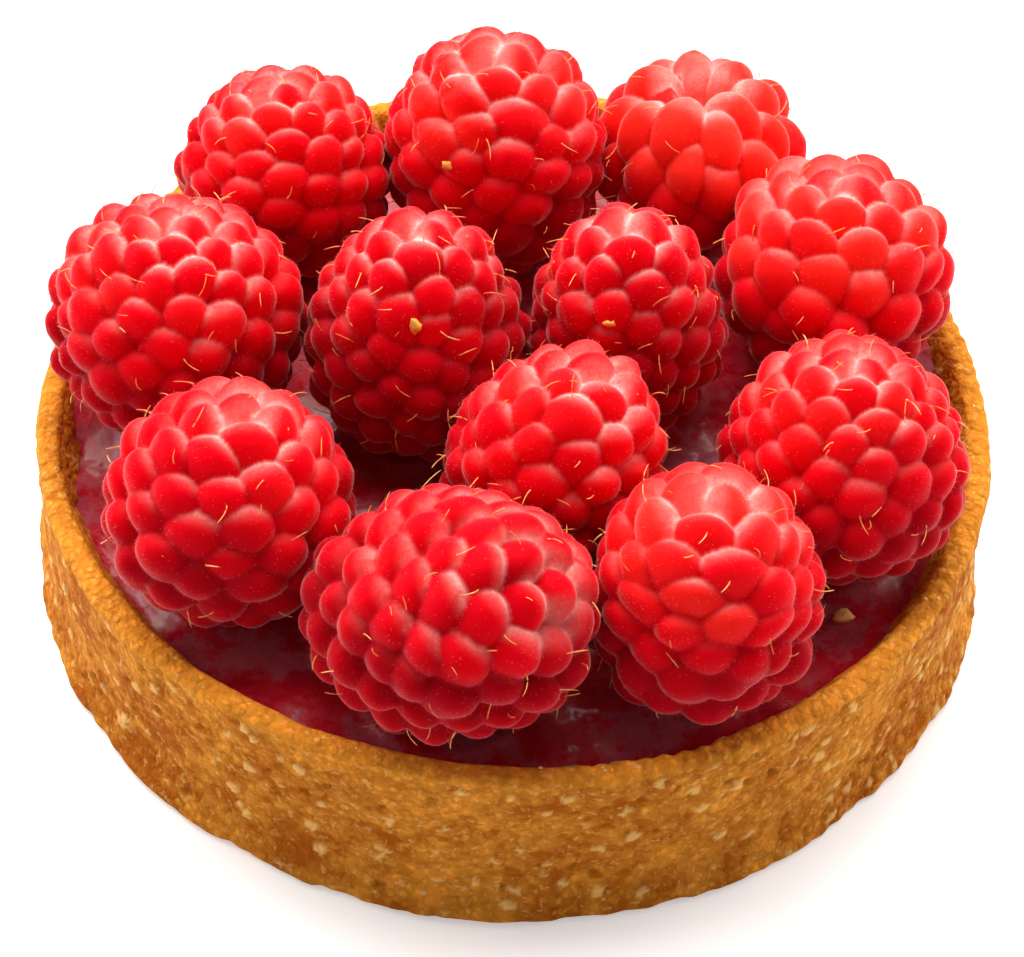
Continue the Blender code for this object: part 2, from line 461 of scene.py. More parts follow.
def case_profile(settings):
    """The case's outline (radius, height): from the middle of the underside out, up the wall, over the rim,
    down the inner wall and back to the middle under the jam."""
    foot, wall, high = settings.foot_radius, settings.wall_radius, settings.height
    spread = 6.0 * MM
    edge = 0.6 * MM
    crest = 0.75 * MM
    inner = wall - settings.rim_width
    under = np.stack([np.linspace(0.0, foot - edge, 8)[1:-1], np.zeros(6)], axis=1)
    corner = arc_points(foot - edge, edge, edge, -90, 0, 6)
    down = np.linspace(1, 0, 20)[1:]
    flare = np.stack([wall + (foot - wall) * down**2, edge + (spread - edge) * (1 - down)], axis=1)
    rise = np.linspace(spread, high - crest, 36)[1:-1]
    straight = np.stack([np.full(len(rise), wall), rise], axis=1)
    outer = arc_points(wall - crest, high - crest, crest, 0, 90, 8)
    flat = np.linspace(wall - crest, inner + crest, 8)[1:-1]
    top = np.stack([flat, np.full(len(flat), high)], axis=1)
    lip = arc_points(inner + crest, high - crest, crest, 90, 160, 6)
    slope = np.linspace(0, 1, 8)[1:, None]
    side = lip[-1:] + (np.array([[HIDDEN_RADIUS, HIDDEN_LEVEL]]) - lip[-1:]) * slope
    inside = np.stack([np.linspace(HIDDEN_RADIUS, 0.0, 5)[1:-1], np.full(3, HIDDEN_LEVEL)], axis=1)
    return np.concatenate([under, corner, flare, straight, outer, top, lip, side, inside])


def rim_wave(angle):
    """Height of the hand-trimmed rim above its mean, in metres."""
    waves = [height * MM * np.cos(order * (angle - math.radians(peak))) for order, height, peak in RIM_WAVES]
    return sum(waves)


def case_surface(settings, columns=940):
    """Turns the outline about Z, lifts it towards the rim by the rim's waves, and pushes every point along
    the outline's normal by the sum of slow lumps, grain, raised nuggets, pits, cracks and the rim's dimples.
    Returns points, faces and look values: how far it is baked, with the crest paler, partly as a painted
    highlight, and the dimples darker as painted shade; painted shade in pits and cracks, with a stain under
    the rim on the inner wall; how much of a nugget."""
    profile = case_profile(settings)
    tangent = np.gradient(profile, axis=0)
    normal = unit(np.stack([tangent[:, 1], -tangent[:, 0]], axis=1))
    rows = len(profile)
    angle = np.arange(columns) * math.tau / columns
    high = settings.height
    share = np.clip(profile[:, 1] / high, 0, 1)[:, None]
    radius = np.repeat(profile[:, :1], columns, axis=1)
    height = profile[:, 1:] + share * rim_wave(angle)[None, :]
    around = np.repeat(angle[None, :], rows, axis=0)
    points = np.stack([radius * np.cos(around), radius * np.sin(around), height], axis=-1).reshape(-1, 3)
    climb = np.repeat(normal[:, 1:], columns, axis=1)
    outward = np.stack([normal[:, :1] * np.cos(around), normal[:, :1] * np.sin(around), climb], axis=-1)
    outward = outward.reshape(-1, 3)
    on_rim = smoothstep(high - 1.2 * MM, high - 0.3 * MM, profile[:, 1])
    on_rim = np.repeat(on_rim[:, None], columns, axis=1).ravel()
    visible = smoothstep(0.0, 1.0 * MM, profile[:, 1]) * smoothstep(33.0 * MM, 36.0 * MM, profile[:, 0])
    visible = np.repeat(visible[:, None], columns, axis=1).ravel()

    lumps = noise(points, 7.0 * MM, 11) * 0.16 * MM + noise(points, 2.8 * MM, 12) * 0.16 * MM
    grain = layered_noise(points, 1.1 * MM, 13, 3) * settings.grain
    rough = noise(points, 0.5 * MM, 22) + 0.5 * noise(points, 1.1 * MM, 23)
    away, label = nearest_seeds(points, 1.4 * MM, 21)
    nugget = smoothstep(0.42, 0.3, away + 0.26 * rough) * (label > 0.8) * (1 - on_rim)
    pit_away, pit_label = nearest_seeds(points * (1, 1, 1.5), 1.8 * MM, 31)
    pit = smoothstep(0.36, 0.12, pit_away + 0.2 * noise(points, 0.6 * MM, 33)) * (pit_label > 0.62)
    seam = np.abs(noise(points * (1, 1, 2.2), 3.6 * MM, 41) + 0.25 * noise(points, 0.9 * MM, 42))
    crack = smoothstep(0.05, 0.0, seam) * smoothstep(0.1, 0.5, noise(points, 6.0 * MM, 43))
    pitch = 1.55 * MM / settings.wall_radius
    drift = noise(points, 6.0 * MM, 51) * 2.4 + noise(points, 2.0 * MM, 53) * 0.9
    dimple = 0.5 - 0.5 * np.cos(math.tau * around.ravel() / pitch + drift)
    strong = smoothstep(-0.5, 0.6, noise(points, 9.0 * MM, 52))
    dimple = dimple * strong * on_rim

    push = lumps + grain * visible * (1 - 0.6 * on_rim) + 0.12 * MM * nugget * visible
    pore = smoothstep(0.3, 0.7, noise(points, 0.75 * MM, 35))
    pore *= smoothstep(-0.2, 0.4, noise(points, 4.0 * MM, 36))
    pit = np.maximum(pit, 0.6 * pore)
    push -= (0.3 * MM * pit + 0.16 * MM * crack) * visible * (1 - 0.8 * on_rim)
    push -= settings.crimp * dimple
    flat_foot = smoothstep(0.0, 0.8 * MM, points[:, 2])
    points = points + outward * (push * flat_foot)[:, None]
    ragged = 0.3 + 0.5 * noise(points * (1, 1, 0.3), 4.0 * MM, 61)
    ragged += 0.4 * noise(points * (1, 1, 0.4), 1.1 * MM, 62)
    nick = np.clip(ragged, 0, 1) * smoothstep(1.8 * MM, 0.0, points[:, 2])
    points[:, :2] *= (1 - nick * 0.5 * MM / settings.foot_radius)[:, None]

    baked = 0.35 * noise(points, 7.0 * MM, 71) + 0.35 * noise(points, 2.6 * MM, 72)
    baked += 0.3 * noise(points, 1.1 * MM, 73)
    # Painted highlight: the crest is made paler and more orange than the wall, partly its own colour. Painted
    # shade: the dimples are darker.
    baked = 0.42 + baked * (1 - 0.5 * on_rim) + 0.15 * dimple - 0.5 * on_rim
    inside = np.repeat((np.arange(rows) > rows - 14)[:, None], columns, axis=1).ravel()
    fall = points[:, 2] - rim_wave(around.ravel())
    stain = 0.25 * inside * smoothstep(high - 1.2 * MM, high - 2.0 * MM, fall)
    # Painted shade in pits, pores and cracks, plus the stain under the rim.
    dark = np.clip(pit * (1 - 0.7 * on_rim) + 0.6 * crack + stain, 0, 1)
    values = np.stack([np.clip(baked, 0, 1), dark * visible, nugget * visible], axis=1)
    bottom = np.array([[0.0, 0.0, 0.0]])
    top = np.array([[0.0, 0.0, HIDDEN_LEVEL]])
    points = np.concatenate([bottom, points, top])
    values = np.concatenate([values[:1], values, values[-1:]])
    return points, capped_faces(rows, columns), values


# ---------------------------------------------------------------- jam


BRIGHT_JAM = (0.5, 0.006, 0.02, 1.0)
REFLECTION_PATCH_JAM = (0.34, 0.075, 0.1, 1.0)
JAM_REACH = 37.0 * MM
JAM_WALL = 36.4 * MM
JAM_FLOOR = 12.2 * MM


def jam_material(settings):
    """Dark jam: red light soaks in, the skin mirrors softly with small folds, with purple-grey painted
    reflections in ragged patches.
    """
    material, shader, nodes = new_material("Jam", Roughness=0.4, Coat_Weight=0.16, Coat_Roughness=0.08)
    shader.inputs["Subsurface Weight"].default_value = 0.5
    shader.inputs["Subsurface Radius"].default_value = (1.0, 0.08, 0.06)
    shader.inputs["Subsurface Scale"].default_value = 2.5 * MM
    shader.inputs["Specular IOR Level"].default_value = 0.22
    place = nodes.add("ShaderNodeTexCoord").outputs["Object"]
    blotch = nodes.between(nodes.noise(place, 260.0, 3.0, 0.6), 0.35, 0.7)
    colour = nodes.mix(blotch, tuple(settings.colour), BRIGHT_JAM)
    # Painted reflection: ragged purple-grey patches stand in for the sky mirrored in the skin.
    painted_reflection = nodes.between(nodes.noise(place, 130.0, 6.0, 0.72), 0.5, 0.56, 0.0, 0.65)
    colour = nodes.mix(painted_reflection, colour, REFLECTION_PATCH_JAM)
    nodes.link(colour, shader.inputs["Base Color"])
    wet = nodes.noise(place, 500.0, 4.0, 0.7)
    nodes.link(nodes.between(wet, 0.4, 0.6, 0.2, 0.45), shader.inputs["Roughness"])
    folds = nodes.noise(place, 600.0, 4.0, 0.62)
    nodes.link(nodes.bump(folds, 0.25 * MM, 0.5), shader.inputs["Normal"])
    return material


def fruit_feet():
    """Centre and reach (metres) of every fruit where it sits in the jam."""
    feet = []
    for name, *_ in FRUITS:
        low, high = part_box(name)
        feet.append(((low.x + high.x) / 2, (low.y + high.y) / 2, 0.3 * (high.x - low.x)))
    return feet


def jam_surface(settings, rows=130, columns=560):
    """A disc from the middle out to the wall: level, less the square of the way out, plus an exponential
    climb at the wall and round each fruit, plus soft folds of the set skin, with a flat disc underneath."""
    share = np.linspace(0, 1, rows + 1)[1:]
    radius = JAM_REACH * share**0.8
    angle = np.arange(columns) * math.tau / columns
    r = np.repeat(radius[:, None], columns, axis=1)
    a = np.repeat(angle[None, :], rows, axis=0)
    points = np.stack([r * np.cos(a), r * np.sin(a), np.full_like(r, settings.level)], axis=-1).reshape(-1, 3)
    flat = points.copy()
    climb = settings.rise * (1 + 0.3 * noise(flat, 3 * MM, 5))
    climb *= np.exp(-np.clip(JAM_WALL - r.ravel(), 0, None) / (1.2 * MM))
    folds = settings.ripple * layered_noise(flat, 2.6 * MM, 7, 3) + 0.6 * MM * noise(flat, 5.0 * MM, 8)
    points[:, 2] += climb + folds - 0.8 * MM * (r.ravel() / JAM_WALL) ** 2
    points[:, 2] += rim_wave(a.ravel()) * np.clip(r.ravel() / JAM_REACH, 0, 1) ** 4
    for x, y, foot in fruit_feet():
        away = np.hypot(flat[:, 0] - x, flat[:, 1] - y) - foot
        points[:, 2] += 0.6 * MM * np.exp(-np.clip(away, 0, None) / (0.8 * MM))
    floor = flat.reshape(rows, columns, 3)[-1].copy()
    floor[:, 2] = JAM_FLOOR
    top = np.array([[0.0, 0.0, points[:columns, 2].mean()]])
    bottom = np.array([[0.0, 0.0, JAM_FLOOR]])
    points = np.concatenate([top, points, floor, bottom])
    return points, capped_faces(rows + 1, columns, from_top=True)


# ---------------------------------------------------------------- raspberries


def raspberry_material(settings):
    """Raspberry flesh: red light travels inside each drupelet, from orange-red where it is less ripe to
    crimson where it is ripest, with painted shade low on the fruit and in the creases; the pale down on
    the upper edges near the top also paints a sheen."""
    material, shader, nodes = new_material("Raspberry", Sheen_Weight=0.55, Sheen_Roughness=0.28)
    shader.inputs["Sheen Tint"].default_value = (1.0, 0.68, 0.66, 1.0)
    shader.inputs["Subsurface Weight"].default_value = 0.75
    shader.inputs["Subsurface Radius"].default_value = (1.0, 0.06, 0.04)
    shader.inputs["Subsurface Scale"].default_value = 3.8 * MM
    shader.inputs["Specular IOR Level"].default_value = 0.015
    painted_crease_shade, tone, down_and_painted_sheen = look_channels(nodes)
    place = nodes.add("ShaderNodeTexCoord").outputs["Object"]
    speck = nodes.noise(place, 4200.0, 2.0, 0.6)
    patch = nodes.noise(place, 420.0, 3.0, 0.6)
    # The tone is each drupelet's ripeness plus painted shade towards the fruit's bottom.
    colour = nodes.mix(nodes.between(tone, 0.0, 0.5), tuple(settings.unripe), tuple(settings.flesh))
    colour = nodes.mix(nodes.between(tone, 0.45, 1.0), colour, tuple(settings.shade))
    # Painted shade in the creases.
    colour = nodes.mix(nodes.math("MULTIPLY", painted_crease_shade, 0.65), colour, tuple(settings.shade))
    # Painted sheen: the pale down colour on the upper edges near the top.
    down = nodes.math("MULTIPLY", down_and_painted_sheen, nodes.between(speck, 0.38, 0.62, 0.7, 1.0))
    down = nodes.math("MULTIPLY", down, nodes.between(patch, 0.35, 0.6, 0.55, 1.0))
    colour = nodes.mix(down, colour, tuple(settings.down_and_sheen))
    nodes.link(colour, shader.inputs["Base Color"])
    nodes.link(nodes.between(patch, 0.3, 0.7, 0.36, 0.55), shader.inputs["Roughness"])
    pores = nodes.math("MULTIPLY", nodes.noise(place, 1500.0, 3.0, 0.6), 0.7)
    skin = nodes.math("ADD", pores, nodes.math("MULTIPLY", speck, 0.3))
    nodes.link(nodes.bump(skin, 0.12 * MM, 0.5), shader.inputs["Normal"])
    return material


def body_outline(down, half_width, half_height, taper):
    """A fruit's body at an angle down from its tip: (radius, height) of a rounded cone."""
    level = np.cos(down)
    narrowing = np.clip((level - TAPER_START) / (1 - TAPER_START), 0, None)
    radius = half_width * np.abs(np.sin(down)) ** SHOULDER_POWER * (1 - TAPER_SHARE * taper * narrowing)
    return radius, half_height * level


def on_body(directions, half_width, half_height, taper):
    """Where a ray from the fruit's middle meets its body, read off the outline by angle."""
    down = np.linspace(0, math.pi, 361)
    radius, height = body_outline(down, half_width, half_height, taper)
    angle = np.arctan2(radius, height)
    reach = np.hypot(radius, height)
    towards = np.arctan2(np.hypot(directions[:, 0], directions[:, 1]), directions[:, 2])
    return directions * np.interp(towards, angle, reach)[:, None]


def spread_drupelets(size, stretch, half_width, half_height, taper, random):
    """Drupelet places on the body, and each one's mean distance to its six nearest: a golden-angle spiral of
    even area, shaken, then pushed apart step by step by the inverse cube of the distance, with height counted
    more in the upper half, where drupelets are wide, and all distances counted more at the tip."""
    area = 4 * math.pi * ((half_width**2 + 2 * half_width * half_height) / 3)
    count = int(area / (0.87 * size**2))
    level = 1 - (np.arange(count) + 0.5) * 2 / count
    turn = np.arange(count) * math.pi * (3 - math.sqrt(5))
    flat = np.sqrt(1 - level**2)
    places = np.stack([flat * np.cos(turn), flat * np.sin(turn), level], axis=1)
    places = on_body(unit(places + random.normal(0, 0.05, places.shape)), half_width, half_height, taper)
    for _ in range(40):
        apart = places[:, None, :] - places[None, :, :]
        squash = 1 + (stretch - 1) * smoothstep(-0.4, 0.3, places[:, 2] / half_height)
        apart[:, :, 2] *= (squash[:, None] + squash[None, :]) / 2
        crowd = 1 + TIP_CROWD * smoothstep(0.55, 0.9, places[:, 2] / half_height)
        apart *= ((crowd[:, None] + crowd[None, :]) / 2)[:, :, None]
        far2 = (apart**2).sum(axis=2) + np.eye(count)
        push = (apart / (far2**2)[:, :, None]).sum(axis=1) * size**4
        step = np.clip(np.linalg.norm(push, axis=1, keepdims=True), None, 0.25 * size)
        places = on_body(unit(places + unit(push) * step * 0.3), half_width, half_height, taper)
    far = np.linalg.norm(places[:, None, :] - places[None, :, :], axis=2)
    return places, np.sort(far, axis=1)[:, 1:7].mean(axis=1)


def body_frames(places, half_width, half_height):
    """At each place: directions round the fruit, up its side, and out of it."""
    out = unit(places / np.array([half_width**2, half_width**2, half_height**2]))
    around = unit(np.cross(np.array([0.0, 0.0, 1.0]) + 1e-6, out))
    up = np.cross(out, around)
    return around, up, out


def leaning(fruit):
    """The turn that leans a fruit's axis, as a 3 by 3 array."""
    _, _, _, lean, towards, *_ = fruit
    way = math.radians(towards)
    return np.array(Quaternion((-math.sin(way), math.cos(way), 0), math.radians(lean)).to_matrix())


def softened(values, rows, columns):
    """One pass of 1-2-1 weights along and across a skin's grid, which rounds the steps between drupelets."""
    grid = values[1:-1].reshape(rows, columns, -1)
    grid = (np.roll(grid, 1, axis=1) + 2 * grid + np.roll(grid, -1, axis=1)) / 4
    wide = np.pad(grid, ((1, 1), (0, 0), (0, 0)), mode="edge")
    grid = (wide[:-2] + 2 * grid + wide[2:]) / 4
    values = values.copy()
    values[1:-1] = grid.reshape(values[1:-1].shape)
    return values


def fruit_surface(fruit, settings, seed):
    """A fruit as one skin: along every ray from its middle, the farthest of many egg-shaped drupelets. Each
    points out of the body and a little towards the tip, and reaches farther with height over its own middle,
    so its upper edge stands proud of the one above. Returns points, look values (painted shade in the
    creases; ripeness with painted shade towards the bottom; down with a painted sheen on upper edges) and
    the drupelets' places, directions and sizes."""
    _, width, height, _, _, taper, size, stretch, ripe, wrinkle, cup = fruit
    random = np.random.default_rng(seed)
    half_width, half_height, size = width / 2 * MM, height / 2 * MM, size * MM
    places, gap = spread_drupelets(size, stretch, half_width, half_height, taper, random)
    if cup:
        keep = (np.hypot(places[:, 0], places[:, 1]) > CUP_RADIUS) | (places[:, 2] < 0)
        places, gap = places[keep], gap[keep]
    around, up, out = body_frames(places, half_width, half_height)
    count = len(places)
    squash = 1 + (stretch - 1) * smoothstep(-0.4, 0.3, places[:, 2] / half_height)
    grow = gap * 0.6 * random.uniform(0.9, 1.1, count)
    long_way = grow * np.sqrt(squash) * random.uniform(0.94, 1.14, count)
    short_way = grow / np.sqrt(squash) * random.uniform(0.98, 1.18, count)
    deep = grow * random.uniform(1.25, 1.55, count)
    twist = random.normal(0, 0.12, count)[:, None]
    across = around * np.cos(twist) + up * np.sin(twist)
    along = up * np.cos(twist) - around * np.sin(twist)
    nod = np.radians(random.normal(32.0, 7.0, count))[:, None] * np.sqrt(np.clip(1 - out[:, 2:] ** 2, 0, 1))
    facing = out * np.cos(nod) + along * np.sin(nod)
    raised = along * np.cos(nod) - out * np.sin(nod)
    upward = leaning(fruit)[2]
    skyward = unit(up + upward - out * (out @ upward)[:, None])
    centres = places - facing * (deep * random.uniform(0.92, 1.08, count))[:, None]
    ripeness = ripe + random.normal(0, 0.05, count)

    rows, columns = settings.rings, settings.columns
    down = np.linspace(0, math.pi, rows + 2)[1:-1]
    radius, level = body_outline(down, half_width, half_height, taper)
    turn = np.arange(columns) * math.tau / columns
    ring = [np.outer(radius, np.cos(turn)), np.outer(radius, np.sin(turn)), np.outer(level, np.ones(columns))]
    rays = np.stack(ring, axis=-1).reshape(-1, 3)
    rays = np.concatenate([[[0, 0, half_height]], rays, [[0, 0, -half_height]]])
    reach = np.linalg.norm(rays, axis=1)
    rays = rays / reach[:, None]

    best = reach * CORE_SHARE
    if cup:
        from_axis = np.hypot(rays[:, 0], rays[:, 1]) * reach
        inside = smoothstep(CUP_RADIUS, CUP_FLOOR_RADIUS, from_axis) * (rays[:, 2] > 0)
        best = best * (1 - inside) + inside * (reach - cup * MM)
    lap = 0.35 * LAP if cup else LAP
    second = best.copy()
    winner = np.full(len(rays), -1)
    all_axes = np.stack([across, raised, facing], axis=1)
    all_sizes = np.stack([long_way, short_way, deep], axis=1)
    for number, (centre, axes, sizes) in enumerate(zip(centres, all_axes, all_sizes)):
        near = np.flatnonzero(rays @ unit(centre) > 0.8)
        shaped = axes / sizes[:, None]
        ray = rays[near] @ shaped.T
        middle = shaped @ centre
        a = (ray**2).sum(axis=1)
        b = ray @ middle
        rest = b * b - a * (middle @ middle - 1)
        hit = rest > 0
        near = near[hit]
        far = (b[hit] + np.sqrt(rest[hit])) / a[hit]
        climb = (rays[near] * far[:, None] - places[number]) @ skyward[number]
        far += lap * np.clip(climb, -0.6 * size, 0.6 * size)
        ahead = far > best[near]
        second[near] = np.where(ahead, best[near], np.maximum(second[near], far))
        winner[near[ahead]] = number
        best[near] = np.where(ahead, far, best[near])
    step = best - second
    best = softened(best, rows, columns)
    points = rays * best[:, None]

    folds = layered_noise(points, 1.3 * MM, seed + 300, 3)
    crumple = smoothstep(0.0, 0.5, noise(points, 5.0 * MM, seed + 310)) * wrinkle
    points = points + rays * (0.05 * MM * folds + 0.45 * MM * folds * crumple)[:, None]
    sway = np.stack([noise(points, 6.0 * MM, seed + 320 + axis) for axis in range(3)], axis=1)
    points = points + 0.25 * MM * sway

    owner = np.maximum(winner, 0)
    rise = ((points - places[owner]) * skyward[owner]).sum(axis=1) / size
    covered = winner >= 0
    # Painted shade: darker in the creases, on each drupelet's bottom edge and in holes between drupelets.
    painted_crease_shade = np.where(covered, np.exp(-step / (0.25 * MM)) * smoothstep(0.3, -0.1, rise), 1.0)
    tone = np.where(covered, ripeness[owner], ripe)
    high = points @ upward
    high = high / high.max()
    # Painted shade: the tone darkens towards the fruit's bottom, along the world's up, where less light
    # falls.
    painted_low_shade = smoothstep(0.75, -0.4, high)
    tone = np.clip(tone + 0.72 * painted_low_shade + 0.15 * noise(points, 5.0 * MM, seed + 330), 0, 1)
    # Down is real, but its colour is laid mostly on upper edges and towards the fruit's top, where the lamp
    # behind would catch it: a painted sheen.
    edge = 0.2 + 0.55 * np.exp(-step / (0.7 * MM)) + 0.5 * np.exp(-step / (0.25 * MM))
    upper = 0.015 + 0.985 * smoothstep(0.22, 0.82, high)
    down_and_painted_sheen = smoothstep(-0.05, 0.4, rise) * np.clip(edge, 0, 1) * upper * covered
    if cup:
        down_and_painted_sheen = np.maximum(down_and_painted_sheen, 0.4 * inside)
    values = softened(np.stack([painted_crease_shade, tone, down_and_painted_sheen], axis=1), rows, columns)
    return points, values, (places, around, up, out, grow)


def set_fruit(fruit, points):
    """Leans a fruit and gives the shift that stands it where its CAD solid stands."""
    low, high = (np.array(corner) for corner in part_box(fruit[0]))
    turned = points @ leaning(fruit).T
    shift = (low + high) / 2 - (turned.min(axis=0) + turned.max(axis=0)) / 2
    shift[2] = low[2] - turned[:, 2].min()
    return turned + shift, shift


# ---------------------------------------------------------------- hairs, crumbs and seeds


BROWN_HAIR = (0.8, 0.24, 0.05, 1.0)
ROSE_DOWN = (1.0, 0.25, 0.25, 1.0)
PALE_DOWN = (1.0, 0.55, 0.5, 1.0)
DOWN_RADIUS = 0.007 * MM
HAIR_RINGS = 7
HAIR_SIDES = 5


def hair_material(settings):
    """Dry hairs: straw to orange in blotches."""
    material, shader, nodes = new_material("Dry hair", Roughness=0.5)
    place = nodes.add("ShaderNodeTexCoord").outputs["Object"]
    blotch = nodes.between(nodes.noise(place, 300.0, 2.0, 0.5), 0.35, 0.65)
    nodes.link(nodes.mix(blotch, tuple(settings.hair), BROWN_HAIR), shader.inputs["Base Color"])
    return material


def down_material():
    """Down: pale pink and dry."""
    material, shader, nodes = new_material("Down", Roughness=0.6)
    place = nodes.add("ShaderNodeTexCoord").outputs["Object"]
    blotch = nodes.noise(place, 700.0, 2.0, 0.5)
    nodes.link(nodes.mix(blotch, ROSE_DOWN, PALE_DOWN), shader.inputs["Base Color"])
    return material


def down_hairs(points, settings, seed):
    """Thin three-sided spikes on a fruit's skin, stood on its normal with some lean, as many to each square
    millimetre. Normals are the cross product of the skin's two grid directions."""
    random = np.random.default_rng(seed)
    skin = points[1:-1].reshape(settings.rings, settings.columns, 3)
    around = np.roll(skin, -1, axis=1) - np.roll(skin, 1, axis=1)
    downwards = np.gradient(skin, axis=0)
    normal = np.cross(downwards, around).reshape(-1, 3)
    area = np.linalg.norm(normal, axis=1)
    chosen = random.choice(len(normal), settings.down_count, p=area / area.sum())
    heading = unit(unit(normal[chosen]) + random.normal(0, 0.35, (len(chosen), 3)))
    side = unit(np.cross(heading, random.normal(0, 1, (len(chosen), 3))))
    over = np.cross(heading, side)
    root = skin.reshape(-1, 3)[chosen] + (side + over) * random.uniform(-0.1, 0.1, (len(chosen), 1)) * MM
    length = settings.down_length * random.uniform(0.5, 1.3, (len(chosen), 1))
    corners = [
        root - heading * 0.03 * MM + (side * math.cos(turn) + over * math.sin(turn)) * DOWN_RADIUS
        for turn in (0.0, math.tau / 3, 2 * math.tau / 3)
    ]
    return np.stack([*corners, root + heading * length], axis=1).reshape(-1, 3)


def down_faces(count):
    """Four outward faces of each spike: three sides that meet at the tip, and its root."""
    one = np.array([[0, 1, 3], [1, 2, 3], [2, 0, 3], [0, 2, 1]])
    return (np.arange(count)[:, None, None] * 4 + one).reshape(-1, 3)


def hairs(roots, heading, sideways, lengths, thickness, bulbs):
    """Bent tubes: each runs from its root along its heading, curls sideways by the square of the way along,
    and narrows to its end, where some swell into a small bulb. All tubes share one array."""
    along = np.linspace(0, 1, HAIR_RINGS)
    spine = (
        roots[:, None, :]
        + heading[:, None, :] * (lengths[:, None] * along)[:, :, None]
        + sideways[:, None, :] * (lengths[:, None] * along**2)[:, :, None] * 0.45
    )
    forward = unit(np.gradient(spine, axis=1))
    side = unit(np.cross(forward, heading[:, None, :] + 0.3 * sideways[:, None, :] + 0.01))
    over = np.cross(forward, side)
    bulb = np.exp(-(((along - 0.93) / 0.07) ** 2)) * 1.3
    swell = 1 - 0.55 * along[None, :] + bulbs[:, None] * bulb[None, :]
    swell[:, -1] *= 0.35
    swell[:, 0] *= 0.8
    turn = np.arange(HAIR_SIDES) * math.tau / HAIR_SIDES
    ring = side[:, :, None, :] * np.cos(turn)[:, None] + over[:, :, None, :] * np.sin(turn)[:, None]
    skin = spine[:, :, None, :] + ring * (thickness[:, None] * swell)[:, :, None, None]
    count = len(roots)
    per = HAIR_RINGS * HAIR_SIDES + 2
    points = np.concatenate([spine[:, :1, :], skin.reshape(count, -1, 3), spine[:, -1:, :]], axis=1)
    return points.reshape(-1, 3), repeated_faces(capped_faces(HAIR_RINGS, HAIR_SIDES), count, per)


def lumps(centres, sizes, seed, rings=7, columns=10):
    """Small uneven grains: round skins stretched by their own three sizes, dented by noise, in one array."""
    down = np.linspace(0, math.pi, rings + 2)[1:-1]
    turn = np.arange(columns) * math.tau / columns
    flat, level = np.sin(down), np.cos(down)
    ring = [np.outer(flat, np.cos(turn)), np.outer(flat, np.sin(turn)), np.outer(level, np.ones(columns))]
    ball = np.concatenate([[[0, 0, 1]], np.stack(ring, axis=-1).reshape(-1, 3), [[0, 0, -1]]])
    points = centres[:, None, :] + ball[None, :, :] * sizes[:, None, :]
    dent = noise(points.reshape(-1, 3), 0.22 * MM, seed).reshape(len(centres), len(ball), 1)
    points = points + (points - centres[:, None, :]) * dent * 0.6
    faces = capped_faces(rings, columns, from_top=True)
    return points.reshape(-1, 3), repeated_faces(faces, len(centres), len(ball))


def on_skin(points, way, height):
    """The point of a fruit's skin that lies that way round its middle and that high over it, in degrees."""
    way, height = math.radians(way), math.radians(height)
    heading = np.array([math.cos(height) * math.cos(way), math.cos(height) * math.sin(way), math.sin(height)])
    middle = (points.min(axis=0) + points.max(axis=0)) / 2
    return points[np.argmax(unit(points - middle) @ heading)]


YELLOW_SEED = (0.95, 0.5, 0.06, 1.0)
AMBER_SEED = (0.8, 0.25, 0.02, 1.0)
LOOSE_CRUMB = (0.88, 0.55, 0.2, 1.0)


def seed_material():
    """Loose raspberry seeds: amber yellow, a little waxy."""
    material, shader, nodes = new_material("Loose seed", Roughness=0.4)
    place = nodes.add("ShaderNodeTexCoord").outputs["Object"]
    blotch = nodes.between(nodes.noise(place, 1500.0, 3.0, 0.6), 0.35, 0.65)
    nodes.link(nodes.mix(blotch, YELLOW_SEED, AMBER_SEED), shader.inputs["Base Color"])
    return material


def crumb_material(settings):
    """Loose crumbs: pale baked grain."""
    material, shader, nodes = new_material("Loose crumb", Roughness=0.7)
    crumb = place_crumb(nodes, 1.6)
    colour = nodes.mix(crumb["Grain"], LOOSE_CRUMB, tuple(settings.pale))
    nodes.link(colour, shader.inputs["Base Color"])
    nodes.link(nodes.bump(crumb["Height"], 0.1 * MM, 0.6), shader.inputs["Normal"])
    return material


# ---------------------------------------------------------------- operators


class TART_OT_pastry_case(bpy.types.Operator):
    """Bake the pastry case: straight wall, spreading foot and a dimpled rim"""

    bl_idname = "tart.pastry_case"
    bl_label = "Pastry case"

    def execute(self, context):
        settings = context.scene.tart_case
        points, faces, values = case_surface(settings)
        piece = new_piece("pastry_case_baked", points, faces, pastry_material(settings), values)
        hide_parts("pastry_case")
        return {"FINISHED"}


class TART_OT_jam(bpy.types.Operator):
    """Fill the case with glossy jam"""

    bl_idname = "tart.jam"
    bl_label = "Jam"

    def execute(self, context):
        settings = context.scene.tart_jam
        points, faces = jam_surface(settings)
        piece = new_piece("jam_set", points, faces, jam_material(settings))
        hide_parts("jam")
        return {"FINISHED"}


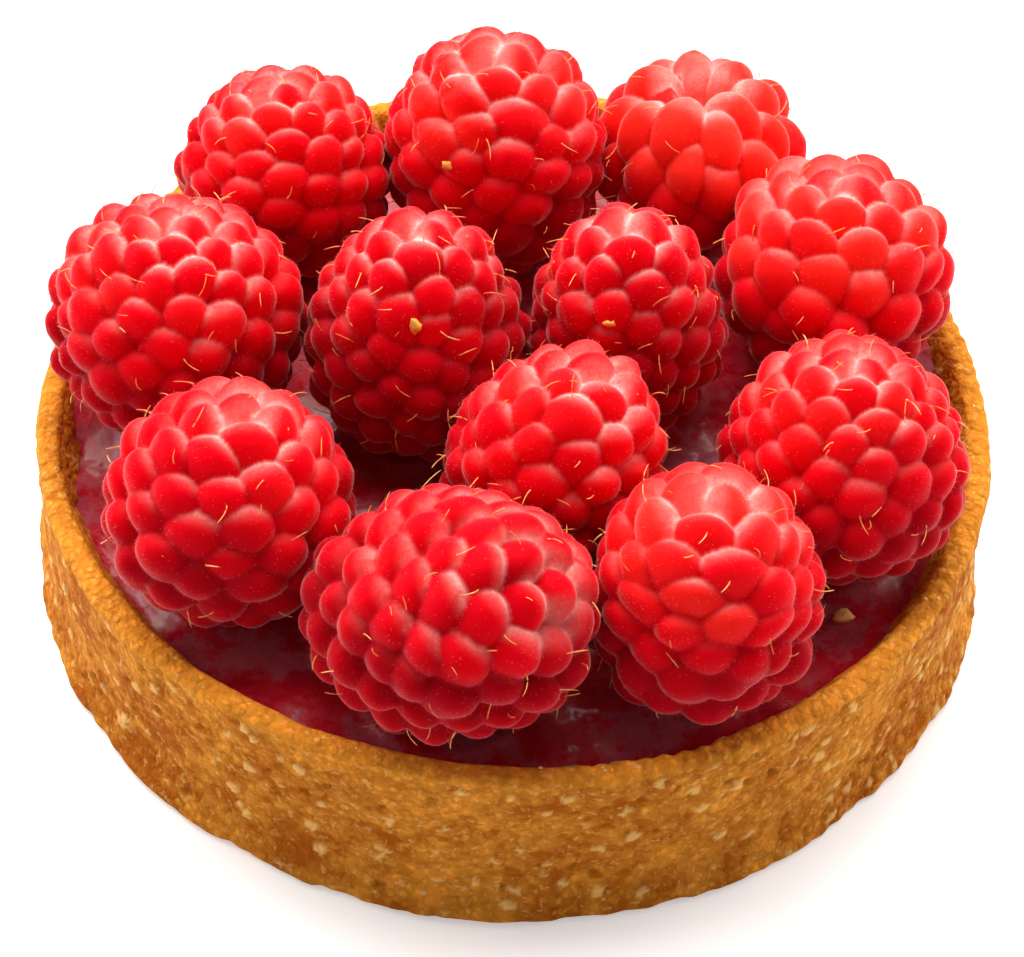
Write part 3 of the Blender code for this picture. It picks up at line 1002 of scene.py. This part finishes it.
class TART_OT_raspberries(bpy.types.Operator):
    """Set the raspberries on the jam, with their dry hairs, their down and a few loose seeds"""

    bl_idname = "tart.raspberries"
    bl_label = "Raspberries"

    def execute(self, context):
        settings = context.scene.tart_fruit
        flesh = raspberry_material(settings)
        strands = []
        down = []
        seeds = []
        for number, fruit in enumerate(FRUITS):
            local, values, drupelets = fruit_surface(fruit, settings, 100 + number)
            points, shift = set_fruit(fruit, local)
            faces = capped_faces(settings.rings, settings.columns, from_top=True)
            piece = new_piece(fruit[0] + "_ripe", points, faces, flesh, values)
            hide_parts(fruit[0])
            strands.append(self.style_strands(fruit, drupelets, shift, settings, 500 + number))
            down.append(down_hairs(points, settings, 700 + number))
            stuck = [row for row in SEEDS if row[0] == fruit[0]]
            seeds += [(on_skin(points, way, height), size) for _, way, height, size in stuck]
        joined = [np.concatenate(column) for column in zip(*strands)]
        points, faces = hairs(*joined)
        new_piece("raspberry_hairs", points, faces, hair_material(settings))
        points = np.concatenate(down)
        faces = down_faces(len(points) // 4).tolist()
        new_piece("raspberry_down", points, faces, down_material())
        places, sizes = (np.array(column) for column in zip(*seeds))
        points, faces = lumps(places, sizes * MM, 14)
        new_piece("loose_seeds", points, faces, seed_material())
        return {"FINISHED"}

    def style_strands(self, fruit, drupelets, shift, settings, seed):
        """Roots, headings, curls, lengths, thickness and bulbs of one fruit's hairs."""
        places, around, up, out, grow = drupelets
        random = np.random.default_rng(seed)
        turned = leaning(fruit)
        high = np.flatnonzero(places[:, 2] > places[:, 2].min() * 0.55)
        chosen = random.permutation(high)[: int(len(high) * 0.7)]
        swing = random.uniform(0, math.tau, len(chosen))
        flat = around[chosen] * np.cos(swing)[:, None] + up[chosen] * np.sin(swing)[:, None]
        cross = np.cross(out[chosen], flat)
        root = places[chosen] + flat * (grow[chosen] * random.uniform(0.1, 0.8, len(chosen)))[:, None]
        root = root - out[chosen] * 0.35 * MM
        heading = unit(flat * 0.8 + out[chosen] * random.uniform(0.35, 1.0, len(chosen))[:, None])
        curl = unit(cross * random.choice([-1, 1], len(chosen))[:, None] + flat * 0.2 - out[chosen] * 0.4)
        lengths = settings.style_length * random.uniform(0.6, 1.25, len(chosen))
        thickness = random.uniform(0.045, 0.07, len(chosen)) * MM
        bulbs = (random.uniform(0, 1, len(chosen)) > 0.55).astype(float)
        return root @ turned.T + shift, heading @ turned.T, curl @ turned.T, lengths, thickness, bulbs


class TART_OT_crumbs(bpy.types.Operator):
    """Scatter a few crumbs on the rim and the jam"""

    bl_idname = "tart.crumbs"
    bl_label = "Crumbs"

    def execute(self, context):
        settings = context.scene.tart_case
        random = np.random.default_rng(9)
        count = 90
        angle = random.uniform(0, math.tau, count)
        radius = settings.wall_radius - settings.rim_width / 2 + random.uniform(-0.6, 0.5, count) * MM
        height = settings.height + rim_wave(angle) - random.uniform(0.1, 0.3, count) * MM
        centres = np.stack([radius * np.cos(angle), radius * np.sin(angle), height], axis=1)
        sizes = random.uniform(0.07, 0.22, (count, 1)) * random.uniform(0.7, 1.3, (count, 3)) * MM
        way = math.radians(JAM_CRUMB_WAY)
        x, y = JAM_CRUMB_DISTANCE * math.cos(way), JAM_CRUMB_DISTANCE * math.sin(way)
        centres = np.append(centres, [[x * MM, y * MM, JAM_CRUMB_HEIGHT * MM]], axis=0)
        sizes = np.append(sizes, np.array([JAM_CRUMB_SIZE]) * MM, axis=0)
        points, faces = lumps(centres, sizes, 12)
        new_piece("loose_crumbs", points, faces, crumb_material(settings))
        return {"FINISHED"}


def area_lamp(name, place, size, power, colour):
    """A soft square lamp that faces the tart."""
    data = bpy.data.lights.new(name, "AREA")
    data.shape = "RECTANGLE"
    data.size, data.size_y = size
    data.energy = power
    data.color = colour
    lamp = bpy.data.objects.new(name, data)
    lamp.location = place
    lamp.rotation_euler = (Vector((0, 0, 0.015)) - Vector(place)).to_track_quat("-Z", "Y").to_euler()
    bpy.context.scene.collection.objects.link(lamp)
    return lamp


TABLE_HALF = 3.0
WARM_WHITE = (1.0, 0.97, 0.93)
SIDE_WHITE = (1.0, 0.99, 0.97)
FILL_WHITE = (1.0, 0.98, 0.96)
ROOM_LIGHT = 0.24  # how strongly the white room lights the tart; seen directly it is 1


def seen_directly(nodes):
    """1 for rays from the camera, a mirror or clear glass, 0 for rays that light the tart."""
    path = nodes.add("ShaderNodeLightPath")
    seen = nodes.math("MAXIMUM", path.outputs["Is Camera Ray"], path.outputs["Is Glossy Ray"])
    return nodes.math("MAXIMUM", seen, path.outputs["Is Transmission Ray"])


def floor_material():
    """White table that shows the tart's shadow; elsewhere, seen or mirrored, it is plain white."""
    material, shader, nodes = new_material("White table", Roughness=0.9)
    shader.inputs["Base Color"].default_value = (0.9, 0.9, 0.9, 1.0)
    shader.inputs["Emission Color"].default_value = (1.0, 1.0, 1.0, 1.0)
    nodes.link(nodes.math("MULTIPLY", seen_directly(nodes), 0.35), shader.inputs["Emission Strength"])
    return material


class TART_OT_stage(bpy.types.Operator):
    """Set the white table, the soft lamps and the camera"""

    bl_idname = "tart.stage"
    bl_label = "Stage"

    def execute(self, context):
        settings = context.scene.tart_stage
        mesh = bpy.data.meshes.new("table")
        corners = [(x * TABLE_HALF, y * TABLE_HALF, 0) for x, y in ((-1, -1), (1, -1), (1, 1), (-1, 1))]
        mesh.from_pydata(corners, [], [(0, 1, 2, 3)])
        table = bpy.data.objects.new("table", mesh)
        table.data.materials.append(floor_material())
        context.scene.collection.objects.link(table)
        area_lamp("key_behind", (-0.05, 0.3, 0.48), (0.6, 0.6), settings.key_power, WARM_WHITE)
        area_lamp("side_left", (-0.5, 0.2, 0.2), (0.4, 0.4), settings.side_power, SIDE_WHITE)
        area_lamp("side_right", (0.5, 0.2, 0.2), (0.4, 0.4), 0.8 * settings.side_power, WARM_WHITE)
        area_lamp("fill_front", (-0.25, -0.45, 0.35), (0.5, 0.5), settings.fill_power, FILL_WHITE)
        world = bpy.data.worlds.new("White room")
        context.scene.world = world
        world.use_nodes = True
        nodes = Nodes(world.node_tree)
        back = world.node_tree.nodes["Background"]
        nodes.link(nodes.between(seen_directly(nodes), 0.0, 1.0, ROOM_LIGHT, 1.0), back.inputs["Strength"])
        back.inputs["Color"].default_value = (1.0, 1.0, 1.0, 1.0)
        self.add_camera(context, settings)
        context.scene.view_settings.view_transform = "Standard"
        return {"FINISHED"}

    def add_camera(self, context, settings):
        """A long lens above the front edge, turned a little about its own axis."""
        data = bpy.data.cameras.new("camera")
        data.lens = settings.lens
        data.sensor_width = 36.0
        data.clip_start = 0.01
        camera = bpy.data.objects.new("camera", data)
        rise = settings.camera_elevation
        place = Vector((0, -math.cos(rise), math.sin(rise))) * settings.camera_distance
        aim = Vector((0, 0, settings.aim_height)) - place
        camera.location = place
        camera.rotation_mode = "QUATERNION"
        roll = Quaternion((0, 0, 1), settings.camera_roll)
        camera.rotation_quaternion = aim.to_track_quat("-Z", "Y") @ roll
        context.scene.collection.objects.link(camera)
        context.scene.camera = camera


class TART_PT_panel(bpy.types.Panel):
    """Lists the steps that build the tart and the sizes and colours they use"""

    bl_idname = "TART_PT_panel"
    bl_label = "Raspberry tart"
    bl_space_type = "VIEW_3D"
    bl_region_type = "UI"
    bl_category = "Tart"

    def draw(self, context):
        for operator in OPERATORS:
            self.layout.operator(operator.bl_idname)
        for name, group in SETTINGS.items():
            box = self.layout.box()
            for key in group.__annotations__:
                box.prop(getattr(context.scene, name), key)


SETTINGS = {
    "tart_case": TartCaseSettings,
    "tart_jam": TartJamSettings,
    "tart_fruit": TartFruitSettings,
    "tart_stage": TartStageSettings,
}
OPERATORS = (TART_OT_pastry_case, TART_OT_jam, TART_OT_raspberries, TART_OT_crumbs, TART_OT_stage)
CLASSES = (*SETTINGS.values(), *OPERATORS, TART_PT_panel)


def register():
    for cls in CLASSES:
        bpy.utils.register_class(cls)
    for name, group in SETTINGS.items():
        setattr(bpy.types.Scene, name, PointerProperty(type=group))


def unregister():
    for name in SETTINGS:
        delattr(bpy.types.Scene, name)
    for cls in reversed(CLASSES):
        bpy.utils.unregister_class(cls)


def clear_startup():
    """Removes the default cube, lamp and camera."""
    for name in ("Cube", "Light", "Camera"):
        if name in bpy.data.objects:
            bpy.data.objects.remove(bpy.data.objects[name], do_unlink=True)


def main():
    register()
    clear_startup()
    bpy.ops.tart.pastry_case()
    bpy.ops.tart.jam()
    bpy.ops.tart.raspberries()
    bpy.ops.tart.crumbs()
    bpy.ops.tart.stage()


if __name__ == "__main__":
    main()
